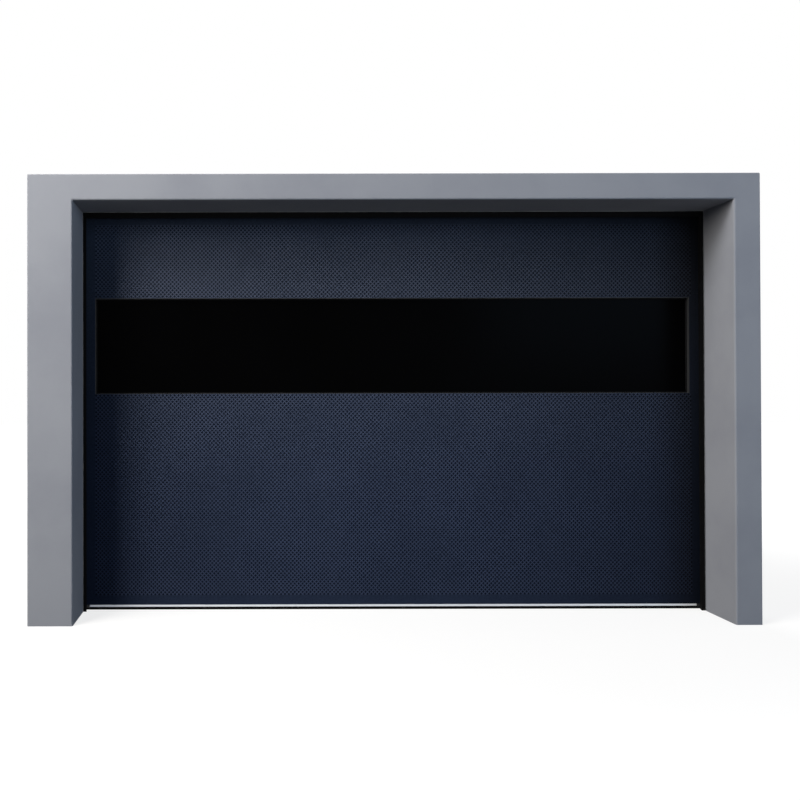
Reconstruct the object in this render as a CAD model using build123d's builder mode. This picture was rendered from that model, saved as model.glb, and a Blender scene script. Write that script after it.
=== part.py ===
from build123d import *
import os

os.makedirs("parts", exist_ok=True)

# Doorway and the plain surround that frames it
opening_width = 3500
opening_height = 2250
left_pier_width = 240
right_pier_width = 140
lintel_height = 140
surround_depth = 300
surround_round = 5

# Steel frame fixed behind the surround
frame_sheet = 2
upright_width = 110
upright_depth = 140
upright_return = 25
head_return = 33
foot_hole = 12

# Leaf: four insulated sections hinged one above another
leaf_thickness = 42
leaf_setback = 40
leaf_overlap = 15
bottom_seal_height = 14
bottom_profile_height = 16
section_height = 587
leaf_lap = 62
joint_gap = 0.8
groove_depth = 8
groove_thickness = 14
tongue_clearance = 0.5
cap_sheet = 1.5
cap_flange = 60

# Glazed section
stile_width = 77
bottom_rail_height = 21
top_rail_height = 23
pane_setback = 28
pane_thickness = 6
glazing_rebate = 9
glazing_clearance = 0.3

# Seals
seal_strip = 4
seal_lip = 3
seal_reach = 18
head_seal_reach = 30
seal_fixing = 30
bottom_seal_width = 30
bottom_seal_wall = 3
bottom_slot_width = 16
bottom_slot_depth = 6
bottom_profile_inset = 30
bottom_profile_lip = 3

# Tracks, rollers and what holds them
track_width = 50
track_depth = 24
track_sheet = 2
track_lip = 8
foot_plate = 5
track_edge_gap = 20
track_spacing = 80
bend_radius = 340
track_run = 2700
roller_clearance = 0.3
roller_width = 14
stem_diameter = 11
stem_clearance = 0.3
roller_offset = 30
top_roller_rise = 34
bottom_roller_height = 120
bracket_sheet = 3
bracket_height = 60
bracket_width = 30
bracket_start = 300
bracket_spacing = 700
bracket_count = 3
corner_plate_reach = 300
corner_plate_height = 440
corner_plate_slant = 220
hanger_leg = 40
hanger_height = 180
hanger_plate_length = 80
hanger_hole = 9
hanger_hole_spacing = 50
hanger_inset = 60
hanger_spacing = 1200
hanger_count = 2
rear_bar_height = 30
rear_bar_width = 40

# Hinges
hinge_plate = 3
hinge_width = 60
hinge_reach = 45
hinge_knuckle = 14
hinge_count = 4
hinge_edge_margin = 2
carrier_length = 50
carrier_tube = 18
carrier_web = 6

# Counterbalance: tension springs, cables, fixed and moving pulleys
cable_diameter = 3
cable_level = 75
cable_edge_gap = 10
cable_offset = 16
pulley_level = 2200
pulley_width = 14
pulley_flange = 5
pulley_axle = 12
pulley_bracket_height = 50
spring_diameter = 40
spring_wall = 4
spring_bottom = 350
spring_length = 1500
spring_eye = 45
spring_eye_diameter = 8
spring_offset = 24
spring_setback = 45
anchor_thickness = 5
anchor_width = 36
moving_pulley_radius = 22
yoke_sheet = 3
yoke_height = 35

# Grab handle on the inside
handle_length = 220
handle_diameter = 14
handle_standoff = 45
handle_level = 850

# Planes and levels that follow from the sizes above
overall_depth = surround_depth + track_run
surround_front = -overall_depth / 2
surround_back = surround_front + surround_depth
track_end = surround_back + track_run
opening_middle = (left_pier_width - right_pier_width) / 2
right_edge = opening_middle + opening_width / 2
left_edge = opening_middle - opening_width / 2
surround_width = left_pier_width + opening_width + right_pier_width
surround_height = opening_height + lintel_height

frame_back = surround_back + frame_sheet
leaf_front = surround_back + leaf_setback
leaf_back = leaf_front + leaf_thickness
leaf_middle = leaf_front + leaf_thickness / 2
leaf_right = right_edge + leaf_overlap
leaf_width = opening_width + 2 * leaf_overlap
section_length = leaf_width - 2 * cap_sheet
profile_end = right_edge - bottom_profile_inset

leaf_bottom = bottom_seal_height + bottom_profile_height
lower_joint = leaf_bottom + section_height
middle_joint = lower_joint + section_height
upper_joint = middle_joint + section_height
leaf_top = opening_height + leaf_lap
joints = (lower_joint, middle_joint, upper_joint)
window_sill = middle_joint + bottom_rail_height
window_head = upper_joint - top_rail_height

hinge_face = leaf_back + cap_sheet
roller_line = leaf_back + roller_offset
track_face = leaf_right + track_edge_gap
track_back = track_face + track_depth
track_slot = track_width - 2 * track_sheet - 2 * track_lip
upper_track = leaf_top + top_roller_rise
lower_track = upper_track - track_spacing
bend_start = lower_track - bend_radius
bend_centre = roller_line + bend_radius
web_face = right_edge + upright_width - frame_sheet
roller_radius = track_width / 2 - track_sheet - roller_clearance
roller_centre = track_face + track_depth / 2
track_front = roller_line - track_width / 2
upright_rear = surround_back + upright_depth
corner_plate_top = upper_track + track_width / 2
corner_plate_start = corner_plate_top - corner_plate_height
hanger_top = upper_track + hanger_height
hanger_start = lower_track - track_width / 2
spring_top = spring_bottom + spring_length

middle_plane = Plane.YZ.offset(opening_middle)


def save(node, name):
    node.part.label = name
    export_step(node.part, f"parts/{name}.step")


# Surround: two piers with the lintel laid across them
with BuildPart() as left_pier:
    with BuildSketch():
        with Locations((-surround_width / 2, surround_front)):
            Rectangle(left_pier_width, surround_depth, align=Align.MIN)
    extrude(amount=opening_height)
    fillet(left_pier.edges().filter_by(Axis.Z).group_by(Axis.X)[0], surround_round)

with BuildPart() as right_pier:
    with BuildSketch():
        with Locations((surround_width / 2, surround_front)):
            Rectangle(right_pier_width, surround_depth, align=(Align.MAX, Align.MIN))
    extrude(amount=opening_height)
    fillet(right_pier.edges().filter_by(Axis.Z).group_by(Axis.X)[-1], surround_round)

with BuildPart() as lintel:
    with BuildSketch(Plane.XY.offset(opening_height)):
        with Locations((0, surround_front)):
            Rectangle(surround_width, surround_depth, align=(Align.CENTER, Align.MIN))
    extrude(amount=lintel_height)
    fillet(lintel.edges().filter_by(Axis.Z), surround_round)
    fillet(lintel.faces().sort_by(Axis.Z)[-1].edges(), surround_round)

# Frame uprights: folded channels open towards the leaf, each with a foot plate for the floor
with BuildPart() as right_upright:
    with BuildSketch():
        with Locations((right_edge, surround_back)):
            Rectangle(upright_width, frame_sheet, align=Align.MIN)
        with Locations((web_face, surround_back)):
            Rectangle(frame_sheet, upright_depth, align=Align.MIN)
        with Locations((web_face + frame_sheet, upright_rear)):
            Rectangle(upright_return, frame_sheet, align=Align.MAX)
    extrude(amount=surround_height)
    with BuildSketch():
        with Locations((web_face, upright_rear - frame_sheet)):
            Rectangle(web_face - track_face, upright_rear - frame_sheet - track_front, align=Align.MAX)
        with Locations(((track_back + web_face) / 2, roller_line)):
            Circle(foot_hole / 2, mode=Mode.SUBTRACT)
    extrude(amount=foot_plate)

with BuildPart() as left_upright:
    mirror(right_upright.part, about=middle_plane)

with BuildPart() as head_frame:
    with BuildSketch(Plane.YZ.offset(left_edge)):
        with Locations((surround_back, opening_height)):
            Rectangle(frame_sheet, lintel_height, align=Align.MIN)
        with Locations((frame_back, surround_height)):
            Rectangle(head_return, frame_sheet, align=(Align.MIN, Align.MAX))
    extrude(amount=opening_width)

# Seals on the frame: a flat strip with a lip that leans on the leaf
seal_edge = right_edge - seal_reach
with BuildPart() as side_seals:
    with BuildSketch():
        with Locations((seal_edge, frame_back)):
            Rectangle(seal_reach + seal_fixing, seal_strip, align=Align.MIN)
        with BuildLine():
            Polyline(
                (seal_edge, frame_back + seal_strip),
                (seal_edge + seal_lip, frame_back + seal_strip),
                (seal_edge + 4 * seal_lip, leaf_front),
                (seal_edge + 3 * seal_lip, leaf_front),
                close=True,
            )
        make_face()
    extrude(amount=opening_height + seal_fixing)
    mirror(about=middle_plane)

seal_under = opening_height - head_seal_reach
with BuildPart() as head_seal:
    with BuildSketch(Plane.YZ.offset(opening_middle)):
        with Locations((frame_back, seal_under)):
            Rectangle(seal_strip, head_seal_reach + seal_fixing, align=Align.MIN)
        with BuildLine():
            Polyline(
                (frame_back + seal_strip, seal_under),
                (frame_back + seal_strip, seal_under + seal_lip),
                (leaf_front, seal_under + 4 * seal_lip),
                (leaf_front, seal_under + 3 * seal_lip),
                close=True,
            )
        make_face()
    extrude(amount=opening_width / 2 - seal_reach, both=True)


# A section's outline across the leaf: groove below, tongue above
def section_outline(bottom, top, groove=True, tongue=True):
    with Locations((leaf_front, bottom)):
        Rectangle(leaf_thickness, top - joint_gap - bottom, align=Align.MIN)
    if tongue:
        with Locations((leaf_middle, top - joint_gap)):
            Rectangle(
                groove_thickness - 2 * tongue_clearance,
                joint_gap + groove_depth,
                align=(Align.CENTER, Align.MIN),
            )
    if groove:
        with Locations((leaf_middle, bottom)):
            Rectangle(
                groove_thickness,
                groove_depth,
                align=(Align.CENTER, Align.MIN),
                mode=Mode.SUBTRACT,
            )


with BuildPart() as bottom_section:
    with BuildSketch(middle_plane):
        section_outline(leaf_bottom, lower_joint, groove=False)
    extrude(amount=section_length / 2, both=True)

with BuildPart() as lower_section:
    with BuildSketch(middle_plane):
        section_outline(lower_joint, middle_joint)
    extrude(amount=section_length / 2, both=True)

with BuildPart() as top_section:
    with BuildSketch(middle_plane):
        section_outline(upper_joint, leaf_top, tongue=False)
    extrude(amount=section_length / 2, both=True)

# Glazed section: two rails, two stiles, the pane and its bead
window_width = leaf_width - 2 * stile_width
pane_front = leaf_front + pane_setback
rebate_width = window_width + 2 * glazing_rebate
pane_width = rebate_width - 2 * glazing_clearance
pane_height = window_head - window_sill + 2 * (glazing_rebate - glazing_clearance)
window_middle = (window_sill + window_head) / 2

with BuildPart() as window_bottom_rail:
    with BuildSketch(middle_plane):
        section_outline(middle_joint, window_sill + joint_gap, tongue=False)
    extrude(amount=section_length / 2, both=True)
    with BuildSketch(Plane.XY.offset(window_sill)):
        with Locations((opening_middle, pane_front)):
            Rectangle(rebate_width, leaf_thickness, align=(Align.CENTER, Align.MIN))
    extrude(amount=-glazing_rebate, mode=Mode.SUBTRACT)

with BuildPart() as window_top_rail:
    with BuildSketch(middle_plane):
        section_outline(window_head, upper_joint, groove=False)
    extrude(amount=section_length / 2, both=True)
    with BuildSketch(Plane.XY.offset(window_head)):
        with Locations((opening_middle, pane_front)):
            Rectangle(rebate_width, leaf_thickness, align=(Align.CENTER, Align.MIN))
    extrude(amount=glazing_rebate, mode=Mode.SUBTRACT)

with BuildPart() as window_right_stile:
    with BuildSketch(Plane.XY.offset(window_sill)):
        with Locations((leaf_right - cap_sheet, leaf_front)):
            Rectangle(stile_width - cap_sheet, leaf_thickness, align=(Align.MAX, Align.MIN))
        with Locations((leaf_right - stile_width, pane_front)):
            Rectangle(glazing_rebate, leaf_thickness, align=Align.MIN, mode=Mode.SUBTRACT)
    extrude(amount=window_head - window_sill)

with BuildPart() as window_left_stile:
    mirror(window_right_stile.part, about=middle_plane)

with BuildPart() as window_pane:
    with BuildSketch(Plane.XZ.offset(-pane_front)):
        with Locations((opening_middle, window_middle)):
            Rectangle(pane_width, pane_height)
    extrude(amount=-pane_thickness)

with BuildPart() as glazing_bead:
    with BuildSketch(Plane.XZ.offset(-(pane_front + pane_thickness))):
        with Locations((opening_middle, window_middle)):
            Rectangle(pane_width, pane_height)
            Rectangle(window_width, window_head - window_sill, mode=Mode.SUBTRACT)
    extrude(amount=-(leaf_thickness - pane_setback - pane_thickness))

# Foot of the leaf: aluminium profile, its end blocks and the hollow rubber seal they hold
with BuildPart() as bottom_profile:
    with BuildSketch(middle_plane):
        with Locations((leaf_front - bottom_profile_lip, bottom_seal_height)):
            Rectangle(leaf_thickness + bottom_profile_lip, bottom_profile_height, align=Align.MIN)
        with Locations((leaf_middle, bottom_seal_height)):
            Rectangle(
                bottom_slot_width,
                bottom_slot_depth,
                align=(Align.CENTER, Align.MIN),
                mode=Mode.SUBTRACT,
            )
    extrude(amount=profile_end - opening_middle, both=True)

with BuildPart() as foot_end_blocks:
    with BuildSketch(Plane.YZ.offset(profile_end)):
        with Locations((leaf_front, bottom_seal_height)):
            Rectangle(leaf_thickness, bottom_profile_height, align=Align.MIN)
        with Locations((leaf_middle, bottom_seal_height)):
            Rectangle(
                bottom_slot_width,
                bottom_slot_depth,
                align=(Align.CENTER, Align.MIN),
                mode=Mode.SUBTRACT,
            )
    extrude(amount=leaf_right - profile_end)
    mirror(about=middle_plane)

with BuildPart() as bottom_seal:
    with BuildSketch(middle_plane) as seal_outline:
        with Locations((leaf_middle, 0)):
            Rectangle(bottom_seal_width, bottom_seal_height, align=(Align.CENTER, Align.MIN))
        fillet(seal_outline.vertices().group_by(Axis.Z)[0], bottom_seal_height / 3)
        offset(amount=-bottom_seal_wall, mode=Mode.SUBTRACT)
        with Locations((leaf_middle, bottom_seal_height)):
            Rectangle(
                bottom_slot_width - 2 * tongue_clearance,
                bottom_slot_depth,
                align=(Align.CENTER, Align.MIN),
            )
    extrude(amount=leaf_width / 2, both=True)

# Sheet caps on the ends of each section, folded onto the inside
with BuildPart() as end_caps:
    for bottom, top in zip((leaf_bottom,) + joints, joints + (leaf_top,)):
        with BuildSketch(Plane.XY.offset(bottom)):
            with Locations((leaf_right, leaf_front)):
                Rectangle(cap_sheet, leaf_thickness, align=(Align.MAX, Align.MIN))
            with Locations((leaf_right, leaf_back)):
                Rectangle(cap_flange, cap_sheet, align=(Align.MAX, Align.MIN))
        extrude(amount=top - joint_gap - bottom)
    mirror(about=middle_plane)


# Hinges along each joint, kept clear of the glass
with BuildPart() as section_hinges:
    for joint in joints:
        below, above = hinge_reach, hinge_reach
        if joint == middle_joint:
            above = window_sill - joint - hinge_edge_margin
        if joint == upper_joint:
            below = joint - window_head - hinge_edge_margin
        with BuildSketch(middle_plane):
            with Locations((leaf_back, joint - below)):
                Rectangle(hinge_plate, below + above, align=Align.MIN)
            with Locations((leaf_back + hinge_plate, joint)):
                Circle(hinge_knuckle / 2)
            with Locations((leaf_back, joint)):
                Rectangle(hinge_knuckle, 2 * hinge_knuckle, align=(Align.MAX, Align.CENTER),
                          mode=Mode.SUBTRACT)
        hinge = extrude(amount=hinge_width / 2, both=True, mode=Mode.PRIVATE)
        with GridLocations(opening_width / (hinge_count + 1), 0, hinge_count, 1):
            add(hinge)

# Edge hinges that carry the side rollers
carrier_end = right_edge - carrier_length / 2
with BuildPart() as roller_carriers:
    for joint in joints:
        with BuildSketch(Plane.YZ.offset(carrier_end)):
            with Locations((hinge_face, joint)):
                Rectangle(hinge_plate, 2 * hinge_reach, align=(Align.MIN, Align.CENTER))
                Rectangle(roller_offset - cap_sheet, carrier_web, align=(Align.MIN, Align.CENTER))
            with Locations((roller_line, joint)):
                Circle(carrier_tube / 2)
                Circle(stem_diameter / 2 + stem_clearance, mode=Mode.SUBTRACT)
        extrude(amount=-carrier_length / 2, both=True)
    mirror(about=middle_plane)

with BuildPart() as bottom_brackets:
    with BuildSketch(Plane.YZ.offset(carrier_end)):
        with Locations((hinge_face, bottom_roller_height)):
            Rectangle(hinge_plate, 2 * hinge_reach, align=(Align.MIN, Align.CENTER))
            Rectangle(roller_offset - cap_sheet, carrier_web, align=(Align.MIN, Align.CENTER))
        with Locations((hinge_face, cable_level)):
            Rectangle(cable_offset, carrier_web, align=(Align.MIN, Align.CENTER))
        with Locations((roller_line, bottom_roller_height)):
            Circle(carrier_tube / 2)
            Circle(stem_diameter / 2 + stem_clearance, mode=Mode.SUBTRACT)
    extrude(amount=-carrier_length / 2, both=True)
    with BuildSketch(Plane.YZ.offset(carrier_end)):
        with Locations((leaf_back + cable_offset, cable_level)):
            Circle(carrier_web / 2)
    extrude(amount=leaf_right + cable_edge_gap + cable_diameter - carrier_end)
    mirror(about=middle_plane)

with BuildPart() as top_arms:
    with BuildSketch(Plane.YZ.offset(carrier_end)):
        with Locations((hinge_face, leaf_top)):
            Rectangle(hinge_plate, 2 * hinge_reach, align=(Align.MIN, Align.MAX))
        with BuildLine():
            Polyline(
                (hinge_face, leaf_top - hinge_reach),
                (roller_line, leaf_top - hinge_reach / 2),
                (roller_line + carrier_tube / 2, upper_track),
                (roller_line - carrier_tube / 2, upper_track),
                (hinge_face, leaf_top),
                close=True,
            )
        make_face()
        with Locations((roller_line, upper_track)):
            Circle(carrier_tube / 2)
            Circle(stem_diameter / 2 + stem_clearance, mode=Mode.SUBTRACT)
    extrude(amount=carrier_length / 2, both=True)
    mirror(about=middle_plane)

roller_levels = (bottom_roller_height,) + joints + (upper_track,)
with BuildPart() as rollers:
    for level in roller_levels:
        with BuildSketch(Plane.YZ.offset(roller_centre)):
            with Locations((roller_line, level)):
                Circle(roller_radius)
        extrude(amount=roller_width / 2, both=True)
        with BuildSketch(Plane.YZ.offset(roller_centre)):
            with Locations((roller_line, level)):
                Circle(stem_diameter / 2)
        extrude(amount=carrier_end - carrier_length / 2 - roller_centre)
    mirror(about=middle_plane)


# The C-shaped track section, open towards the leaf
def track_section(across):
    with Locations((track_face, across)):
        Rectangle(track_depth, track_width, align=(Align.MIN, Align.CENTER))
        Rectangle(track_depth - track_sheet, track_slot, align=(Align.MIN, Align.CENTER),
                  mode=Mode.SUBTRACT)
    with Locations((track_face + track_sheet, across)):
        Rectangle(track_depth - 2 * track_sheet, track_width - 2 * track_sheet,
                  align=(Align.MIN, Align.CENTER), mode=Mode.SUBTRACT)


with BuildPart() as right_vertical_track:
    with BuildSketch(Plane.XY.offset(foot_plate)):
        track_section(roller_line)
    extrude(amount=bend_start - foot_plate)

with BuildPart() as right_track_bend:
    with BuildSketch(Plane.XY.offset(bend_start)):
        track_section(roller_line)
    revolve(axis=Axis((0, bend_centre, bend_start), (-1, 0, 0)), revolution_arc=90)

with BuildPart() as right_lower_track:
    with BuildSketch(Plane.XZ.offset(-bend_centre)):
        track_section(lower_track)
    extrude(amount=-(track_end - bend_centre))

with BuildPart() as right_upper_track:
    with BuildSketch(Plane.XZ.offset(-track_front)):
        track_section(upper_track)
    extrude(amount=-(track_end - track_front))

with BuildPart() as left_vertical_track:
    mirror(right_vertical_track.part, about=middle_plane)

with BuildPart() as left_track_bend:
    mirror(right_track_bend.part, about=middle_plane)

with BuildPart() as left_lower_track:
    mirror(right_lower_track.part, about=middle_plane)

with BuildPart() as left_upper_track:
    mirror(right_upper_track.part, about=middle_plane)

# Spacers between the tracks and the frame
with BuildPart() as track_brackets:
    for place in range(bracket_count):
        with BuildSketch(Plane.XY.offset(bracket_start + place * bracket_spacing)):
            with Locations((track_back, roller_line)):
                Rectangle(bracket_sheet, bracket_width, align=(Align.MIN, Align.CENTER))
                Rectangle(web_face - track_back, bracket_sheet, align=(Align.MIN, Align.CENTER))
            with Locations((web_face, upright_rear - frame_sheet)):
                Rectangle(bracket_sheet, bracket_width, align=Align.MAX)
        extrude(amount=bracket_height)
    mirror(about=middle_plane)

with BuildPart() as corner_plates:
    with BuildSketch(Plane.XY.offset(corner_plate_start)):
        with Locations((track_back, upright_rear)):
            Rectangle(web_face + frame_sheet - track_back, bracket_sheet, align=Align.MIN)
    extrude(amount=corner_plate_top - corner_plate_start)
    with BuildSketch(Plane.YZ.offset(track_back)):
        with BuildLine():
            Polyline(
                (upright_rear, corner_plate_start),
                (upright_rear + corner_plate_reach, corner_plate_top - corner_plate_slant),
                (upright_rear + corner_plate_reach, corner_plate_top),
                (upright_rear, corner_plate_top),
                close=True,
            )
        make_face()
    extrude(amount=bracket_sheet)
    mirror(about=middle_plane)

with BuildPart() as ceiling_hangers:
    for place in range(hanger_count):
        hanger_rear = track_end - hanger_inset - place * hanger_spacing
        with BuildSketch(Plane.XY.offset(hanger_start)):
            with Locations((track_back, hanger_rear)):
                Rectangle(hanger_leg, bracket_sheet, align=(Align.MIN, Align.MAX))
                Rectangle(bracket_sheet, hanger_leg, align=(Align.MIN, Align.MAX))
        extrude(amount=hanger_top - hanger_start)
        with BuildSketch(Plane.XY.offset(hanger_top)):
            with Locations((track_back, hanger_rear)):
                Rectangle(hanger_leg, hanger_plate_length, align=(Align.MIN, Align.MAX))
            with Locations((track_back + hanger_leg / 2, hanger_rear - hanger_plate_length / 2)):
                with GridLocations(0, hanger_hole_spacing, 1, 2):
                    Circle(hanger_hole / 2, mode=Mode.SUBTRACT)
        extrude(amount=bracket_sheet)
    mirror(about=middle_plane)

with BuildPart() as rear_bar:
    with BuildSketch(middle_plane):
        with Locations((track_end - hanger_inset, upper_track + track_width / 2)):
            Rectangle(rear_bar_width, bracket_sheet, align=(Align.MAX, Align.MIN))
            Rectangle(bracket_sheet, rear_bar_height, align=(Align.MAX, Align.MIN))
    extrude(amount=track_back - opening_middle, both=True)

# Counterbalance on each side: the cable runs over a fixed pulley and round one on the spring
spring_x = track_back + spring_offset
spring_y = surround_back + spring_setback
spring_hook = spring_top + spring_eye
cable_x = leaf_right + cable_edge_gap
cable_y = leaf_back + cable_offset
drop_y = spring_y + moving_pulley_radius
return_y = spring_y - moving_pulley_radius
lug_level = pulley_level - pulley_bracket_height
pulley_centre = Vector((cable_x + spring_x) / 2, (cable_y + drop_y) / 2, pulley_level)
pulley_span = Vector(spring_x - cable_x, drop_y - cable_y, 0)
pulley_radius = pulley_span.length / 2
pulley_plane = Plane(pulley_centre, x_dir=pulley_span, z_dir=pulley_span.cross(Vector(0, 0, -1)))
pulley_axis = pulley_plane.z_dir
moving_level = spring_hook + yoke_height
moving_plane = Plane((spring_x, spring_y, moving_level), x_dir=(0, 1, 0), z_dir=(1, 0, 0))

with BuildPart() as springs:
    with BuildSketch(Plane.XY.offset(spring_bottom)):
        with Locations((spring_x, spring_y)):
            Circle(spring_diameter / 2)
    extrude(amount=spring_top - spring_bottom)
    with BuildSketch(Plane.XY.offset(spring_bottom + spring_wall)):
        with Locations((spring_x, spring_y)):
            Circle(spring_diameter / 2 - spring_wall)
    extrude(amount=spring_top - spring_bottom - 2 * spring_wall, mode=Mode.SUBTRACT)
    for level, length in ((spring_top, spring_eye), (spring_bottom, -spring_eye)):
        with BuildSketch(Plane.XY.offset(level)):
            with Locations((spring_x, spring_y)):
                Circle(spring_eye_diameter / 2)
        extrude(amount=length)
    mirror(about=middle_plane)

# Plates on the uprights: the spring hooks below, the cable ends above
with BuildPart() as anchor_plates:
    for level, place, width in (
        (spring_bottom - spring_eye, spring_y, anchor_width),
        (lug_level, return_y, anchor_width / 2),
    ):
        with BuildSketch(Plane.XY.offset(level)):
            with Locations((web_face, place)):
                Rectangle(web_face - spring_x + width / 2, width, align=(Align.MAX, Align.CENTER))
        extrude(amount=-anchor_thickness)
    mirror(about=middle_plane)

with BuildPart() as cables:
    with BuildLine() as cable_path:
        rise = Line(
            (cable_x, cable_y, cable_level + carrier_web / 2),
            (cable_x, cable_y, pulley_level),
        )
        over = ThreePointArc(
            rise @ 1,
            pulley_centre + Vector(0, 0, pulley_radius),
            (spring_x, drop_y, pulley_level),
        )
        drop = Line(over @ 1, (spring_x, drop_y, moving_level))
        under = ThreePointArc(
            drop @ 1,
            (spring_x, spring_y, moving_level - moving_pulley_radius),
            (spring_x, return_y, moving_level),
        )
        Line(under @ 1, (spring_x, return_y, lug_level - anchor_thickness))
    with BuildSketch(Plane(cable_path.line @ 0, z_dir=(0, 0, 1))):
        Circle(cable_diameter / 2)
    sweep(path=cable_path.line)
    mirror(about=middle_plane)

with BuildPart() as pulleys:
    for plane, radius in ((pulley_plane, pulley_radius), (moving_plane, moving_pulley_radius)):
        groove_radius = radius - cable_diameter / 2 - roller_clearance
        with BuildSketch(plane):
            Circle(groove_radius)
            Circle(pulley_axle / 2 + stem_clearance, mode=Mode.SUBTRACT)
        extrude(amount=pulley_width / 2, both=True)
        for side in (1, -1):
            with BuildSketch(plane.offset(side * pulley_width / 2)):
                Circle(groove_radius + pulley_flange)
                Circle(pulley_axle / 2 + stem_clearance, mode=Mode.SUBTRACT)
            extrude(amount=-side * pulley_width / 4)
    mirror(about=middle_plane)

with BuildPart() as pulley_brackets:
    block_face = pulley_centre + pulley_axis * pulley_width
    block_half = pulley_plane.x_dir * pulley_axle
    with BuildSketch(Plane.XY.offset(pulley_level - pulley_bracket_height / 2)):
        with BuildLine():
            Polyline(
                tuple(block_face + block_half)[:2],
                (web_face, cable_y),
                (web_face, upright_rear - frame_sheet),
                tuple(block_face - block_half)[:2],
                close=True,
            )
        make_face()
    extrude(amount=pulley_bracket_height)
    with BuildSketch(pulley_plane.offset(-pulley_width / 2)):
        Circle(pulley_axle / 2)
    extrude(amount=1.5 * pulley_width)
    mirror(about=middle_plane)

# Forks that hang the moving pulleys on the spring hooks
yoke_gap = pulley_width / 2 + roller_clearance
with BuildPart() as pulley_yokes:
    with BuildSketch(Plane.XZ.offset(-spring_y)):
        with Locations((spring_x, spring_hook)):
            Rectangle(2 * (yoke_gap + yoke_sheet), yoke_height + pulley_axle, align=(Align.CENTER, Align.MIN))
        with Locations((spring_x, spring_hook + yoke_sheet)):
            Rectangle(2 * yoke_gap, yoke_height + pulley_axle, align=(Align.CENTER, Align.MIN),
                      mode=Mode.SUBTRACT)
    extrude(amount=pulley_axle, both=True)
    with BuildSketch(moving_plane.offset(-yoke_gap)):
        Circle(pulley_axle / 2)
    extrude(amount=2 * yoke_gap)
    mirror(about=middle_plane)

with BuildPart() as inside_handle:
    with BuildLine() as grip_line:
        FilletPolyline(
            (opening_middle - handle_length / 2, leaf_back, handle_level),
            (opening_middle - handle_length / 2, leaf_back + handle_standoff, handle_level),
            (opening_middle + handle_length / 2, leaf_back + handle_standoff, handle_level),
            (opening_middle + handle_length / 2, leaf_back, handle_level),
            radius=handle_diameter,
        )
    with BuildSketch(Plane(grip_line.line @ 0, z_dir=grip_line.line % 0)):
        Circle(handle_diameter / 2)
    sweep(path=grip_line.line)

save(left_pier, "left_pier")
save(right_pier, "right_pier")
save(lintel, "lintel")
save(left_upright, "left_upright")
save(right_upright, "right_upright")
save(head_frame, "head_frame")
save(side_seals, "side_seals")
save(head_seal, "head_seal")
save(bottom_section, "bottom_section")
save(lower_section, "lower_section")
save(window_bottom_rail, "window_bottom_rail")
save(window_top_rail, "window_top_rail")
save(window_left_stile, "window_left_stile")
save(window_right_stile, "window_right_stile")
save(window_pane, "window_pane")
save(glazing_bead, "glazing_bead")
save(top_section, "top_section")
save(bottom_profile, "bottom_profile")
save(foot_end_blocks, "foot_end_blocks")
save(bottom_seal, "bottom_seal")
save(end_caps, "end_caps")
save(section_hinges, "section_hinges")
save(roller_carriers, "roller_carriers")
save(bottom_brackets, "bottom_brackets")
save(top_arms, "top_arms")
save(rollers, "rollers")
save(left_vertical_track, "left_vertical_track")
save(right_vertical_track, "right_vertical_track")
save(left_track_bend, "left_track_bend")
save(right_track_bend, "right_track_bend")
save(left_lower_track, "left_lower_track")
save(right_lower_track, "right_lower_track")
save(left_upper_track, "left_upper_track")
save(right_upper_track, "right_upper_track")
save(track_brackets, "track_brackets")
save(corner_plates, "corner_plates")
save(ceiling_hangers, "ceiling_hangers")
save(rear_bar, "rear_bar")
save(springs, "springs")
save(anchor_plates, "anchor_plates")
save(cables, "cables")
save(pulleys, "pulleys")
save(pulley_brackets, "pulley_brackets")
save(pulley_yokes, "pulley_yokes")
save(inside_handle, "inside_handle")
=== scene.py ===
import math

import bmesh
import bpy
from mathutils import Matrix, Vector


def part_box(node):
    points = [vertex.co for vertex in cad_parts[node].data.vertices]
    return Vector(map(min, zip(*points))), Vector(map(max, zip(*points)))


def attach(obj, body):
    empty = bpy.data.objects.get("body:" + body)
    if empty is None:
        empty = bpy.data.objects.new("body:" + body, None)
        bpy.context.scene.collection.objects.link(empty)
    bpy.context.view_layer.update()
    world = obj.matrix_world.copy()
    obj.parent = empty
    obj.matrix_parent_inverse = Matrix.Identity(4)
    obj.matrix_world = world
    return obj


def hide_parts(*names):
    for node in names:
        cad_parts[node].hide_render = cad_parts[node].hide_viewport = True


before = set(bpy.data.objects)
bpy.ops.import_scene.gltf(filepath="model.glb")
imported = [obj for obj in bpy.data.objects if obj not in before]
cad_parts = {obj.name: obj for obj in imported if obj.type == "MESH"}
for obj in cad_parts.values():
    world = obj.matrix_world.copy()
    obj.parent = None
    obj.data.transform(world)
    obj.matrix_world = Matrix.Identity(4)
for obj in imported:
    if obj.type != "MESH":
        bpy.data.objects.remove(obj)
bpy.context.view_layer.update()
print("frame loaded")


# Shader helpers
def addNode(tree, kind, settings=None, sockets=None):    # settings first, then values or links
    made = tree.nodes.new(kind)
    for name, value in (settings or {}).items():
        setattr(made, name, value)
    for name, value in (sockets or {}).items():
        if isinstance(value, Wire):
            tree.links.new(value.socket, made.inputs[name])
        elif value is not None:
            made.inputs[name].default_value = value
    return made


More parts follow.
